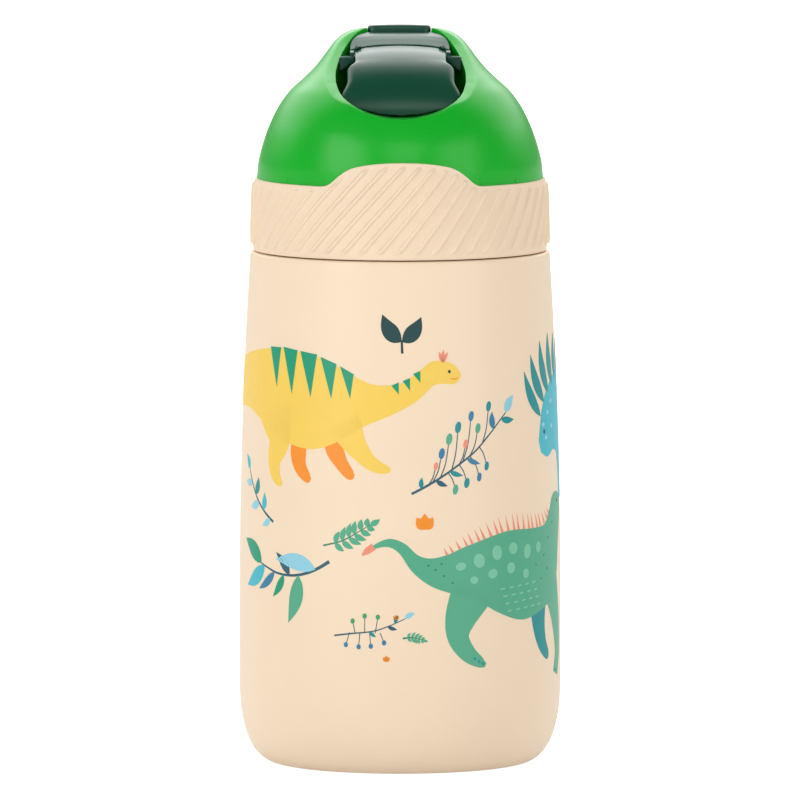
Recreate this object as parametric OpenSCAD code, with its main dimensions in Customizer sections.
// Insulated flask for a child: a steel double-walled body, a screw-on lid
// with a collar, a hinged cover over a soft mouthpiece and a release button.
// Millimetres, +Z up, origin at the centre of the base, front towards -Y.

/* [Body] */
// Largest radius of the body
body_r = 36.5; // [34:0.5:40]
// Radius of the flat ring that the body stands on
foot_r = 26.9; // [25:0.1:29]
// Height over which the bottom edge curves up into the wall
corner_h = 20; // [16:1:24]
// Height of the body's shoulder, where the lid begins
shoulder_z = 116.3; // [112:0.1:122]
// Thickness of the outer steel wall
shell_wall = 0.8; // [0.6:0.1:1.2]
// Thickness of the inner steel wall
liner_wall = 0.6; // [0.5:0.1:0.8]

/* [Neck] */
// Inner radius of the mouth
mouth_r = 24; // [22:0.1:25]
// Height of the neck's lip
lip_z = 131; // [130:0.1:132]
// Rise of the screw thread in one turn
pitch = 4; // [3.5:0.1:4.5]
// Length of the thread in degrees
thread_deg = 450; // [360:10:470]

/* [Lid] */
// Outer radius of the collar at its widest
collar_r = 34; // [33.8:0.1:34.4]
// Height of the collar's plain top edge
collar_top = 132.8; // [132.6:0.1:133]
// Rise of the collar's two hills, front and back
hill_h = 5.6; // [4:0.2:6.5]
// Wall thickness of the domed shell
dome_wall = 1.8; // [1.6:0.1:2.2]
// Half width of the recess for the cover
slot_w = 14.7; // [14.5:0.1:15]

/* [Cover and mouthpiece] */
// Distance of the hinge axis from the flask's axis, front negative
hinge_y = -1.6; // [-1.8:0.1:-1.4]
// Height of the hinge axis
hinge_z = 160.5; // [160.3:0.1:160.7]
// Radius of the hinge knuckles
knuckle_r = 2.4; // [2.3:0.1:2.4]
// Radius of the steel hinge pin
pin_r = 1; // [0.8:0.1:1]
// Half width of the cover in front of the hinge
cover_w = 12.2; // [12:0.1:12.4]
// Height of the mouthpiece's pivot
root_z = 153.2; // [153:0.1:153.4]

/* [Button] */
// Width of the release button
button_w = 14.3; // [12:0.1:14.3]
// Height of the top of the button
button_top = 166.9; // [166.7:0.1:167]

/* [Hidden] */
$fn = 96;

cream = [0.99, 0.91, 0.80];
leaf_green = [0.0, 0.70, 0.25];
pine_green = [0.03, 0.28, 0.20];
steel = [0.75, 0.76, 0.78];
silicone = [0.92, 0.93, 0.92];

// Rows of the dome: height, half width, front end and rear end of its section.
dome_rows = [
    [132.9, 32.7, -32.8, 32.8], [137, 32.1, -32.3, 32.3], [142, 30.6, -31.0, 31.5],
    [146, 29.0, -29.3, 30.5], [149.5, 27.1, -27.3, 29.4], [152.5, 24.8, -24.6, 28.2],
    [155, 22.0, -21.6, 26.9], [157.5, 19.4, -17.6, 25.2], [160, 17.3, -12.6, 23.2],
    [162, 15.8, -7.8, 21.2], [163.8, 14.2, -2.6, 18.8], [165.2, 12.2, 2.4, 16.4],
    [166, 9.4, 5.8, 14.4], [166.4, 5.2, 8.0, 12.6]];
neck_r = mouth_r + 1;
ridge = 1.3;
skirt_in = neck_r + ridge + 0.3;
skirt_out = skirt_in + 1.8;
plate_z = lip_z + 1;
floor_z = 147.9;
slot_back = 11.5;
cradle_floor = floor_z + 1.5;
button_y = 8.95;
button_d = 9.8;
post_y = 14.2;

// Radius of the body at a height above its bottom corner: a shallow parabola.
function wall_r(z) = body_r - 0.000388 * pow(max(z - 35, 0), 2);

// Points of the bottom corner, a superellipse of exponent 2.5, from foot to wall.
function corner_points(inset) = [for (t = [0:9:90])
    [foot_r + (body_r - foot_r) * pow(sin(t), 0.8) - inset * sin(t),
     corner_h - (corner_h - inset) * pow(cos(t), 0.8)]];

// Points of the wall between the corner and the shoulder.
function wall_points(inset, top) = [for (i = [1:10])
    let (z = corner_h + (top - corner_h) * i / 10) [wall_r(z) - inset, z]];

function reversed(list) = [for (i = [len(list) - 1:-1:0]) list[i]];

// A ridge of trapezoid section wound as a right-hand helix, faded out at its ends.
module thread_ridge(root_r, crest_r, z0, start, length) {
    steps = round(length / 9);
    function fade(i) = min(1, min(i, steps - i) / 3);
    points = [for (i = [0:steps])
        let (a = start + length * i / steps, z = z0 + pitch * a / 360,
             crest = root_r + (crest_r - root_r) * max(0.1, fade(i)))
        for (p = [[root_r, -1.45], [crest, -0.6], [crest, 0.6], [root_r, 1.45]])
            [p[0] * cos(a), p[0] * sin(a), z + p[1]]];
    turn = crest_r > root_r ? 1 : -1;
    sides = [for (i = [0:steps - 1], k = [0:3])
        let (a = 4 * i + k, b = 4 * i + (k + 1) % 4, c = b + 4, d = a + 4)
        for (f = [[a, b, c], [a, c, d]]) turn > 0 ? f : reversed(f)];
    ends = [[3, 2, 1], [3, 1, 0],
            [4 * steps, 4 * steps + 1, 4 * steps + 2], [4 * steps, 4 * steps + 2, 4 * steps + 3]];
    polyhedron(points, concat(sides, [for (f = ends) turn > 0 ? f : reversed(f)]), convexity = 6);
}

// A coil of round wire along +Z, from z = 0.
module coil(coil_r, wire_r, rise, turns, sides = 5, per_turn = 16) {
    steps = round(turns * per_turn);
    points = [for (i = [0:steps])
        let (a = 360 * i / per_turn, z = rise * i / per_turn)
        for (k = [0:sides - 1])
            let (b = 360 * k / sides, r = coil_r + wire_r * cos(b))
            [r * cos(a), r * sin(a), z + wire_r * sin(b)]];
    faces = [for (i = [0:steps - 1], k = [0:sides - 1])
        let (a = sides * i + k, b = sides * i + (k + 1) % sides)
        for (f = [[a, b, b + sides], [a, b + sides, a + sides]]) f];
    last = sides * steps;
    polyhedron(points, concat(faces,
        [for (k = [1:sides - 2]) [0, k + 1, k]],
        [for (k = [1:sides - 2]) [last, last + k, last + k + 1]]), convexity = 10);
}

// Places a drawing of the y-z plane across the part, from x0 to x1.
module across(x0, x1) {
    translate([x0, 0, 0]) rotate([90, 0, 90]) linear_extrude(x1 - x0) children();
}

// Places a drawing of the x-z plane along the part, from y0 back to y1.
module along(y0, y1) {
    translate([0, y1, 0]) rotate([90, 0, 0]) linear_extrude(y1 - y0) children();
}

// Both sides of a drawing made for +X.
module both_sides() {
    children();
    mirror([1, 0, 0]) children();
}

// Straight tube between two heights.
module tube(r_out, r_in, z0, z1) {
    translate([0, 0, z0]) difference() {
        cylinder(r = r_out, h = z1 - z0);
        translate([0, 0, -1]) cylinder(r = r_in, h = z1 - z0 + 2);
    }
}

// ---- flask ----

module outer_shell() {
    edge = shoulder_z - 0.9;
    color(cream) rotate_extrude() polygon(concat(
        [[foot_r - 2.9, 2.2], [foot_r - 2.9, 0]],
        corner_points(0), wall_points(0, edge),
        [[wall_r(edge) - 0.25, shoulder_z - 0.35], [wall_r(edge) - 0.9, shoulder_z],
         [neck_r, shoulder_z], [neck_r, shoulder_z - shell_wall]],
        reversed(wall_points(shell_wall, edge)), reversed(corner_points(shell_wall)),
        [[foot_r - 2.1, shell_wall], [foot_r - 2.1, 2.2]]));
}

module base_disc() {
    color(steel) translate([0, 0, 1.2]) cylinder(r = foot_r - 2.9, h = 0.8);
}

// Outline of the liner, drawn smaller by its wall thickness for the inside.
function liner_points(inset) = [
    [0, 5.5 + inset], [26 - inset, 5.5 + inset], [29.8 - inset, 7.2 + inset],
    [32.2 - inset, 11 + inset * 0.6], [33 - inset, 17], [33 - inset, 60],
    [32.4 - inset, 100], [31.8 - inset, 105], [30.4 - inset, 109 - inset * 0.5],
    [28 - inset * 0.7, 111.8 - inset], [neck_r + 0.6 - inset, 113.2 - inset],
    [neck_r - (inset > 0 ? 1 : 0), 114.6]];

module inner_flask() {
    color(steel) union() {
        rotate_extrude() polygon(concat(liner_points(0),
            [[neck_r, lip_z - 0.4], [neck_r - 0.3, lip_z], [mouth_r + 0.3, lip_z], [mouth_r, lip_z - 0.4]],
            reversed(liner_points(liner_wall))));
        thread_ridge(neck_r - 0.2, neck_r + ridge, 121, 0, thread_deg);
    }
}

module getter() {
    color(steel) translate([0, 0, 3.6]) {
        cylinder(r = 6, h = 1.5);
        translate([0, 0, 1.5]) cylinder(r = 4.5, h = 0.4);
    }
}

module neck_gasket() {
    color(silicone) translate([0, 0, lip_z + 0.05]) difference() {
        cylinder(r = neck_r - 0.1, h = 0.9);
        translate([0, 0, -1]) cylinder(r = mouth_r - 1.2, h = 3);
    }
}

module straw() {
    color(silicone) difference() {
        tube(4.4, 3.6, 8.5, 130);
        translate([0, 0, 8.5]) rotate([35, 0, 0]) translate([-10, -10, -12]) cube([20, 20, 12]);
    }
}

// ---- lid ----

// Front view of the collar's hill, wider and higher by a margin.
module hill_outline(margin) {
    rise = hill_h + margin;
    half = [for (i = [0:8]) let (t = i / 8)
        [17 - 9.5 * t + margin, collar_top - 0.05 + rise * (1 - cos(180 * pow(t, 0.85))) / 2]];
    polygon(concat([[-17 - margin, collar_top - 3], [17 + margin, collar_top - 3]], half,
        reversed([for (p = half) [-p[0], p[1]]])));
}

module collar() {
    color(cream) difference() {
        rotate_extrude() polygon([[31.2, 116.6], [collar_r - 0.6, 116.6], [collar_r - 0.15, 117.2],
            [collar_r, 119], [collar_r - 0.2, 125], [collar_r - 0.7, 130], [32.8, collar_top],
            [32.55, 135.5], [32.2, collar_top + hill_h + 0.4], [30.4, collar_top + hill_h + 0.4],
            [31, collar_top], [31.2, collar_top - 0.8]]);
        difference() {
            translate([-50, -50, collar_top]) cube([100, 100, 20]);
            along(-50, 50) hill_outline(0);
        }
    }
}

// Horizontal section of the dome as a thin slab, drawn smaller by an inset. It is
// round at the collar and a superellipse of exponent 2.2 from 12 mm higher.
module dome_slab(row, inset) {
    half_d = (row[3] - row[2]) / 2 - inset;
    mid = (row[3] + row[2]) / 2;
    power = 1 - 0.09 * min(1, max(0, (row[0] - 133) / 12));
    translate([0, mid, row[0]]) linear_extrude(0.05)
        polygon([for (a = [3.75:7.5:360])
            [(row[1] - inset) * sign(cos(a)) * pow(abs(cos(a)), power),
             half_d * sign(sin(a)) * pow(abs(sin(a)), power)]]);
}

// The dome as a stack of hulls; an inset one also sinks, more towards its top.
module dome(inset, base_drop, rows) {
    for (i = [0:rows - 2]) hull() for (k = [i, i + 1])
        dome_slab(dome_rows[k] - [(k == 0 ? base_drop : 0) + inset * k / rows, 0, 0, 0], inset);
}

// Plan of the recess: square in front, rounded at its rear corners.
module slot_plan(margin) {
    corner = 9 + margin;
    hull() {
        translate([-slot_w - margin, -40]) square([2 * (slot_w + margin), 1]);
        for (s = [-1, 1]) translate([s * (slot_w - 9), slot_back - 9]) circle(r = corner);
    }
}

// Front view of the recess, a bowl below and open above.
module slot_front(margin) {
    right = [for (p = [[0, 148], [4.5, 148.5], [9, 149.9], [12.2, 152.2], [14, 154.8], [16, 160]])
        p + margin * [p[0] / 16, p[0] / 16 - 1]];
    polygon(concat(right, [[20, 180], [-20, 180]], [for (i = [5:-1:1]) [-right[i][0], right[i][1]]]));
}

module slot_space(margin) {
    intersection() {
        translate([0, 0, 140]) linear_extrude(40) slot_plan(margin);
        union() {
            along(-50, 30) slot_front(margin);
            translate([-20, -20.5 - margin, floor_z - margin]) cube([40, 60, 40]);
        }
    }
}

module lid_shell() {
    color(leaf_green) difference() {
        dome(0, 0, len(dome_rows));
        difference() {
            dome(dome_wall, 1, len(dome_rows) - 1);
            slot_space(1.4);
        }
        slot_space(0);
        along(-50, 50) hill_outline(0.08);
        translate([0, hinge_y, 140]) cylinder(r = 5, h = 20);
        translate([0, post_y, 140]) cylinder(r = 5.4, h = 18);
        both_sides() translate([8, 5.5, 140]) cylinder(r = 1.1, h = 20);
        translate([-button_w / 2 - 0.3, button_y - 0.3, 156]) cube([button_w + 0.6, button_d + 0.6, 20]);
    }
}

module inner_cap() {
    color(silicone) difference() {
        union() {
            translate([0, 0, plate_z]) cylinder(r = 30.8, h = 0.8);
            translate([0, 0, plate_z]) cylinder(r = 30, h = 2.2);
            tube(skirt_out, skirt_in, 117, plate_z + 0.1);
            translate([0, hinge_y, plate_z]) cylinder(r = 3.6, h = cradle_floor - plate_z);
            translate([0, 0, 119]) cylinder(r = 3.55, h = plate_z - 119 + 0.1);
            translate([0, post_y, plate_z]) cylinder(r = 5, h = 18);
            translate([0, post_y, plate_z]) cylinder(r = 1.7, h = 29);
            difference() {
                thread_ridge(skirt_in + 0.2, neck_r + 0.3, 119, 10, thread_deg);
                translate([0, 0, 130]) cylinder(r = 40, h = 10);
            }
        }
        translate([0, hinge_y / 2, 118]) cylinder(r = 2, h = 40);
        translate([0, -18, 130]) cylinder(r = 1.5, h = 10);
    }
}

// Plate that covers the hinge from behind, rising towards the button.
module hinge_plate() {
    intersection() {
        across(-11.4, 11.4) polygon([[hinge_y + knuckle_r + 0.25, hinge_z + 0.5],
            [hinge_y + knuckle_r + 0.25, 163], [11.2, 165.6], [11.2, 164], [3, 161.5]]);
        translate([0, 0, 150]) linear_extrude(20) union() {
            translate([-11.4, -5]) square([22.8, 9.2]);
            translate([-4.4, -5]) square([8.8, 16.2]);
            for (s = [-1, 1]) translate([s * 4.4, 4.2]) circle(r = 7);
        }
    }
}

module spout_cradle() {
    color(pine_green) difference() {
        union() {
            translate([0, 0, floor_z]) linear_extrude(1.5) intersection() {
                translate([-20, -6]) square([40, 14.4]);
                slot_plan(-0.3);
            }
            hinge_plate();
            both_sides() {
                across(10.35, 11.4) polygon([[-4.2, floor_z + 1], [-4.2, 161.2], [-3.3, 162.5],
                    [-1.6, 162.9], [1.05, 163], [4.2, 163.8], [4.2, floor_z + 1]]);
                intersection() {
                    along(-4.2, 1) polygon([[10.8, 160.2], [14.65, 160.2], [14.65, 156.4], [10.8, 159]]);
                    translate([0, -10, 150]) cube([14.65, 20, 20]);
                }
                translate([8, 5.5, floor_z + 1]) cylinder(r = 2.2, h = 6);
            }
        }
        translate([0, hinge_y, floor_z - 1]) cylinder(r = 3.6, h = 6);
        both_sides() translate([8, 5.5, floor_z - 1]) cylinder(r = 0.9, h = 6.4);
        translate([-20, hinge_y, hinge_z]) rotate([0, 90, 0]) cylinder(r = pin_r, h = 40);
        translate([-button_w / 2 - 0.3, button_y - 0.3, 150]) cube([button_w + 0.6, 10, 20]);
    }
}

module cradle_screws() {
    color(steel) both_sides() translate([8, 5.5, 0]) {
        translate([0, 0, floor_z - 1.4]) cylinder(r = 0.9, h = 6.4);
        translate([0, 0, floor_z - 2.8]) difference() {
            cylinder(r = 1.9, h = 1.4);
            translate([0, 0, -1]) cylinder(r = 0.8, h = 1.6, $fn = 6);
        }
    }
}

module hinge_pin() {
    color(steel) translate([-11.2, hinge_y, hinge_z]) rotate([0, 90, 0]) cylinder(r = pin_r, h = 22.4);
}

module cover_springs() {
    color(steel) both_sides()
        translate([6.4, hinge_y, hinge_z]) rotate([0, 90, 0]) coil(1.45, 0.28, 0.62, 3.5);
}

module button_spring() {
    color(steel) translate([0, post_y, plate_z + 18.3]) coil(4.3, 0.35, 2.62, 5, 5, 18);
}

module vent_valve() {
    color(silicone) translate([0, -18, 0]) {
        translate([0, 0, plate_z + 2.2]) cylinder(r1 = 3.4, r2 = 2.6, h = 1);
        translate([0, 0, plate_z - 0.4]) cylinder(r = 1.45, h = 3);
        translate([0, 0, plate_z - 0.9]) cylinder(r = 2.1, h = 0.9);
    }
}

module mouthpiece_seat() {
    color(silicone) translate([0, hinge_y, 0]) tube(3.6, 2.2, cradle_floor, cradle_floor + 0.35);
}

module riser_seal() {
    color(silicone) translate([0, hinge_y, 0]) tube(4.9, 3.65, floor_z - 1.4, floor_z - 0.1);
}

// ---- cover, mouthpiece and button ----

// Side view of the cover's skin: points of its outer curve, from hinge to tip.
cover_outer = [[-4.2, 162.55], [-7.5, 161.9], [-11, 160.7], [-14.4, 158.9], [-17.3, 156.5],
               [-19.5, 153.4], [-20.7, 150.6], [-21.1, 148.9]];
cover_inner = [[-19.6, 148.9], [-19.2, 150.4], [-18.1, 152.9], [-16.2, 155.5], [-13.6, 157.6],
               [-10.4, 159.3], [-7.2, 160.4], [-4.2, 160.9]];

module flip_cover() {
    color(pine_green) difference() {
        union() {
            intersection() {
                union() {
                    across(-10.1, 10.1) polygon(concat([[hinge_y, hinge_z + knuckle_r]], cover_outer,
                        cover_inner, [[hinge_y, hinge_z - 1]]));
                    across(-cover_w, cover_w) intersection() {
                        polygon(concat(cover_outer, cover_inner));
                        translate([-30, 140]) square([18.4, 30]);
                    }
                    across(-13.5, 13.5) intersection() {
                        polygon(concat(cover_outer, cover_inner));
                        translate([-30, 140]) square([13.2, 30]);
                    }
                    both_sides() across(cover_w - 1.4, cover_w) polygon([[-11.6, 156.5],
                        [-11.6, 160.1], [-14.4, 158.7], [-17.2, 156.3], [-18.2, 155], [-14, 154.6]]);
                }
                along(-40, 10) polygon([[-9, 150.6], [-4.5, 149.3], [0, 148.9], [4.5, 149.3], [9, 150.6],
                    [12, 153], [13.5, 155.8], [13.5, 170], [-13.5, 170], [-13.5, 155.8], [-12, 153]]);
            }
            translate([-10.1, hinge_y, hinge_z]) rotate([0, 90, 0]) cylinder(r = knuckle_r, h = 20.2);
        }
        translate([-20, hinge_y, hinge_z]) rotate([0, 90, 0]) cylinder(r = pin_r + 0.05, h = 40);
        translate([-8.9, hinge_y, hinge_z]) rotate([0, 90, 0]) cylinder(r = 1.9, h = 17.8);
        translate([-8.9, hinge_y - 5, hinge_z - 5]) cube([17.8, 10, 4.8]);
    }
}

module mouthpiece() {
    lean = 8.5;
    color(silicone) translate([0, hinge_y, root_z]) rotate([90 + lean, 0, 0]) difference() {
        union() {
            translate([-2.8, 0, 0]) rotate([0, 90, 0]) cylinder(r = 3.1, h = 5.6);
            cylinder(r = 2.9, h = 8);
            translate([0, 0, 8]) cylinder(r1 = 2.9, r2 = 2.3, h = 6.4);
            translate([0, 0, 14.4]) cylinder(r1 = 2.3, r2 = 2.5, h = 1.6);
        }
        cylinder(r = 1.5, h = 30);
        rotate([-90 - lean, 0, 0]) translate([0, 0, -10]) cylinder(r = 1.5, h = 10);
    }
}

module release_button() {
    x = button_w / 2;
    color(pine_green) difference() {
        union() {
            intersection() {
                translate([-x, button_y, 163.9]) cube([button_w, button_d, 4]);
                across(-x, x) polygon([[0, 163.9], [30, 163.9], [30, 160], [button_y + button_d, 164.9],
                    [button_y + 7, 166.2], [button_y + 3, 166.8], [button_y + 0.6, button_top],
                    [button_y, 166.5], [0, 166.5]]);
            }
            translate([0, post_y, 157]) cylinder(r = 3.4, h = 8);
        }
        translate([0, post_y, 150]) cylinder(r = 1.75, h = 13.2);
    }
}

module button_latch() {
    color(steel) {
        translate([-4, button_y, 158.6]) cube([8, 0.5, 5.3]);
        translate([-4, 5.4, 158.6]) cube([8, 3.6, 0.6]);
    }
}

outer_shell();
base_disc();
inner_flask();
getter();
neck_gasket();
straw();
collar();
lid_shell();
inner_cap();
spout_cradle();
cradle_screws();
hinge_pin();
cover_springs();
button_spring();
vent_valve();
mouthpiece_seat();
riser_seal();
flip_cover();
mouthpiece();
release_button();
button_latch();
